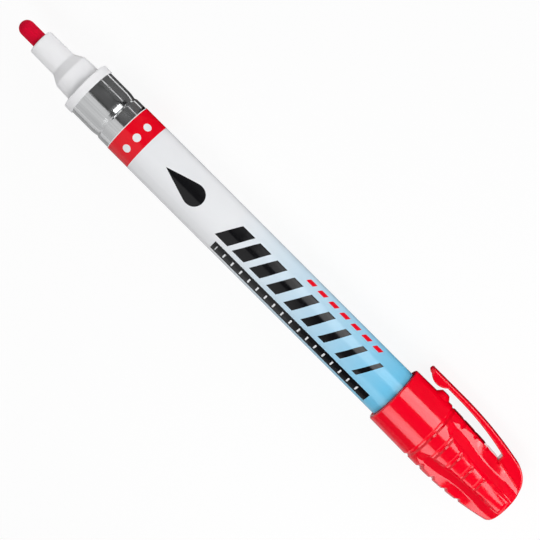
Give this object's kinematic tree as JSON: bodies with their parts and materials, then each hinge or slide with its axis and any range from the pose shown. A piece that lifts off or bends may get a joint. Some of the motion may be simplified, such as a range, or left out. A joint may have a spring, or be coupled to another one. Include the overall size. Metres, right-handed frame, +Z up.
{
  "type": "paint marker",
  "caption": "Valve paint marker with a bullet fibre nib, white nozzle, wrapped aluminium barrel and a fluted red clip cap posted on its rear end.",
  "frame": {"origin": "on the marker's axis, at the middle of the label on the barrel", "axes": "+X along the axis towards the nib, +Z up with the marker lying on its side, cap's clip down on the -Y side"},
  "size_m": [0.1774, 0.0207, 0.0176],
  "materials": {
    "aluminium": "drawn, satin bright",
    "label_film": "printed gloss film",
    "white_plastic": "moulded, satin",
    "natural_plastic": "moulded, natural",
    "nib_fibre": "bonded fibre soaked with paint",
    "black_rubber": "matt",
    "spring_steel": "drawn wire",
    "ball_steel": "polished",
    "red_plastic": "moulded, glossy"
  },
  "bodies": {
    "barrel": {"barrel": "aluminium", "label_wrap": "label_film", "mouthpiece": "white_plastic", "mouthpiece_seal": "black_rubber", "valve_seal": "black_rubber", "valve_body": "natural_plastic", "valve_spring": "spring_steel"},
    "nib": {"nib": "nib_fibre", "valve_stem": "natural_plastic"},
    "mixing_ball": {"mixing_ball": "ball_steel"},
    "cap": {"cap": "red_plastic", "cap_liner": "natural_plastic"}
  },
  "joints": [
    {"name": "nib_press", "type": "slide", "parent": "barrel", "child": "nib", "axis": [-1, 0, 0], "range_m": [0, 0.0025], "stiffness_N_per_m": 600, "springref_m": -0.002, "deforming": ["valve_spring"]},
    {"name": "ball_run", "type": "slide", "parent": "barrel", "child": "mixing_ball", "axis": [-1, 0, 0], "range_m": [0, 0.0983]},
    {"name": "cap_pull", "type": "slide", "parent": "barrel", "child": "cap", "axis": [-1, 0, 0], "range_m": [0, 0.04]}
  ]
}
